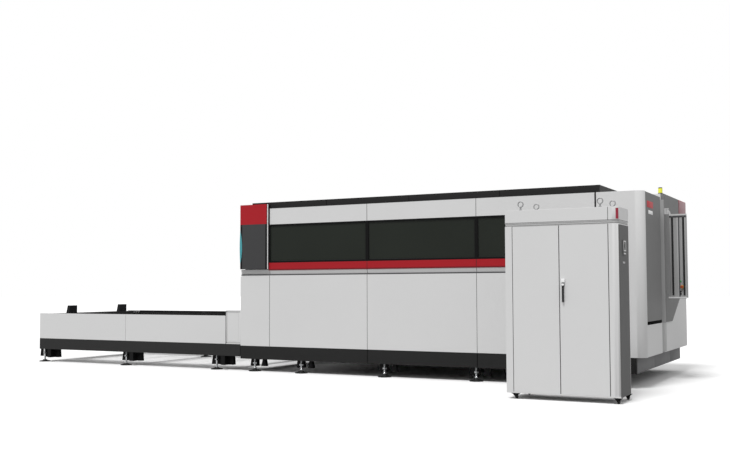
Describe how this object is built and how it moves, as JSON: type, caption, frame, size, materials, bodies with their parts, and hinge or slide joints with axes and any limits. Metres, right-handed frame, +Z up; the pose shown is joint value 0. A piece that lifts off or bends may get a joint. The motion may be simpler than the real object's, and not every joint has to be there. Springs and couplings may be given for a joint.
{
  "type": "fiber laser cutting machine",
  "caption": "Enclosed sheet-metal laser cutter with a shuttle table, gantry and cutting head, operator cabin, swing-arm console and a wheeled two-door cabinet beside it.",
  "frame": {"origin": "on the floor, at the middle of the area that the machine and its cabinet cover", "axes": "+X along the machine from the exchange table to the operator cabin, +Y away from the near wall, +Z up"},
  "size_m": [9.52, 4.1272, 2.33],
  "materials": {
    "light_paint": "fine satin powder coat, light grey white",
    "dark_paint": "satin powder coat, dark grey",
    "black_paint": "satin black",
    "red_paint": "satin red",
    "portal_grey": "satin mid dark grey",
    "cabin_grey": "satin mid grey",
    "bed_grey": "semi-gloss machine grey",
    "ground_steel": "ground",
    "slat_steel": "mill finish, heat marked",
    "cast_alloy": "satin anodised",
    "nozzle_brass": "turned",
    "window_glass": "dark laser-safe tint",
    "bow_glass": "teal tint",
    "beacon_lens": "clear yellow",
    "stud_chrome": "bright plated",
    "foot_rubber": "matt",
    "black_plastic": "fine texture",
    "stop_red": "glossy",
    "console_grey": "satin mid grey",
    "plated_steel": "zinc plated"
  },
  "bodies": {
    "machine": {"foot_pads": "foot_rubber", "foot_studs": "stud_chrome", "foot_brackets": "black_paint", "table_frame": "dark_paint", "table_panels": "light_paint", "transition_boxes": "light_paint", "pallet_rails": "bed_grey", "end_stops": "black_paint", "enclosure_plinth": "dark_paint", "machine_bed": "bed_grey", "guide_rails": "ground_steel", "enclosure_frame": "dark_paint", "lower_panels": "light_paint", "wall_bands": "light_paint", "red_stripes": "red_paint", "window_frames": "black_paint", "window_panes": "window_glass", "roof_panels": "dark_paint", "bowed_window": "bow_glass", "portal_sides": "portal_grey", "red_covers": "red_paint", "entry_wall": "portal_grey", "cabin_shell": "light_paint", "cabin_frame": "dark_paint", "tower_panels": "cabin_grey", "beacon": "beacon_lens", "console_bracket": "light_paint", "cabinet_body": "light_paint", "cabinet_hood": "light_paint", "cabinet_side_panel": "cabin_grey", "lifting_eyes": "plated_steel", "cabinet_equipment": "plated_steel"},
    "upper_pallet": {"upper_pallet_frame": "dark_paint", "upper_pallet_slats": "slat_steel"},
    "lower_pallet": {"lower_pallet_frame": "dark_paint", "lower_pallet_slats": "slat_steel"},
    "gantry": {"gantry_beam": "cast_alloy"},
    "carriage": {"carriage": "light_paint"},
    "cutting_head": {"cutting_head": "cast_alloy", "nozzle": "nozzle_brass"},
    "lift_door": {"lift_door": "light_paint"},
    "cabin_door": {"cabin_door": "cabin_grey"},
    "console": {"console_arm": "light_paint", "console_body": "console_grey", "console_bars": "black_plastic", "console_tray": "light_paint"},
    "e_stop": {"e_stop": "stop_red"},
    "cabinet_door_left": {"cabinet_door_left": "light_paint"},
    "cabinet_door_right": {"cabinet_door_right": "light_paint", "handle_plate": "plated_steel"},
    "handle_lever": {"handle_lever": "black_plastic"},
    "caster_fork_1": {"caster_fork_1": "black_paint"},
    "caster_wheel_1": {"caster_wheel_1": "foot_rubber"},
    "caster_fork_2": {"caster_fork_2": "black_paint"},
    "caster_wheel_2": {"caster_wheel_2": "foot_rubber"},
    "caster_fork_3": {"caster_fork_3": "black_paint"},
    "caster_wheel_3": {"caster_wheel_3": "foot_rubber"},
    "caster_fork_4": {"caster_fork_4": "black_paint"},
    "caster_wheel_4": {"caster_wheel_4": "foot_rubber"}
  },
  "joints": [
    {"name": "upper_pallet_slide", "type": "slide", "parent": "machine", "child": "upper_pallet", "axis": [1, 0, 0], "range_m": [0, 4.17]},
    {"name": "lower_pallet_slide", "type": "slide", "parent": "machine", "child": "lower_pallet", "axis": [-1, 0, 0], "range_m": [0, 4.17]},
    {"name": "gantry_slide", "type": "slide", "parent": "machine", "child": "gantry", "axis": [-1, 0, 0], "range_m": [0, 3.15]},
    {"name": "carriage_slide", "type": "slide", "parent": "gantry", "child": "carriage", "axis": [0, 1, 0], "range_m": [0, 1.26]},
    {"name": "head_slide", "type": "slide", "parent": "carriage", "child": "cutting_head", "axis": [0, 0, -1], "range_m": [0, 0.23]},
    {"name": "lift_door_slide", "type": "slide", "parent": "machine", "child": "lift_door", "axis": [0, 0, 1], "range_m": [0, 0.5]},
    {"name": "cabin_door_hinge", "type": "hinge", "parent": "machine", "child": "cabin_door", "pos_m": [4.486, -0.46035, 1.463], "axis": [0, 0, -1], "range_deg": [0, 110]},
    {"name": "console_swing", "type": "hinge", "parent": "machine", "child": "console", "pos_m": [4.539, 0.56865, 2.035], "axis": [0, 0, 1], "range_deg": [0, 85]},
    {"name": "e_stop_press", "type": "slide", "parent": "console", "child": "e_stop", "axis": [0, 1, 0], "range_m": [0, 0.005], "stiffness_N_per_m": 800},
    {"name": "cabinet_door_left_hinge", "type": "hinge", "parent": "machine", "child": "cabinet_door_left", "pos_m": [3.507, -2.03485, 0.905], "axis": [0, 0, -1], "range_deg": [0, 110]},
    {"name": "cabinet_door_right_hinge", "type": "hinge", "parent": "machine", "child": "cabinet_door_right", "pos_m": [4.443, -2.03485, 0.905], "axis": [0, 0, 1], "range_deg": [0, 110]},
    {"name": "handle_turn", "type": "hinge", "parent": "cabinet_door_right", "child": "handle_lever", "pos_m": [4.015, -2.05635, 1.15], "axis": [0, -1, 0], "range_deg": [0, 90]},
    {"name": "caster_swivel_1", "type": "hinge", "parent": "machine", "child": "caster_fork_1", "pos_m": [3.506, -2.01735, 0.05], "axis": [0, 0, 1], "continuous": true},
    {"name": "caster_roll_1", "type": "hinge", "parent": "caster_fork_1", "child": "caster_wheel_1", "pos_m": [3.506, -1.99935, 0.022], "axis": [1, 0, 0], "continuous": true},
    {"name": "caster_swivel_2", "type": "hinge", "parent": "machine", "child": "caster_fork_2", "pos_m": [3.506, -1.62135, 0.05], "axis": [0, 0, 1], "continuous": true},
    {"name": "caster_roll_2", "type": "hinge", "parent": "caster_fork_2", "child": "caster_wheel_2", "pos_m": [3.506, -1.60335, 0.022], "axis": [1, 0, 0], "continuous": true},
    {"name": "caster_swivel_3", "type": "hinge", "parent": "machine", "child": "caster_fork_3", "pos_m": [4.532, -2.01735, 0.05], "axis": [0, 0, 1], "continuous": true},
    {"name": "caster_roll_3", "type": "hinge", "parent": "caster_fork_3", "child": "caster_wheel_3", "pos_m": [4.532, -1.99935, 0.022], "axis": [1, 0, 0], "continuous": true},
    {"name": "caster_swivel_4", "type": "hinge", "parent": "machine", "child": "caster_fork_4", "pos_m": [4.532, -1.62135, 0.05], "axis": [0, 0, 1], "continuous": true},
    {"name": "caster_roll_4", "type": "hinge", "parent": "caster_fork_4", "child": "caster_wheel_4", "pos_m": [4.532, -1.60335, 0.022], "axis": [1, 0, 0], "continuous": true}
  ]
}
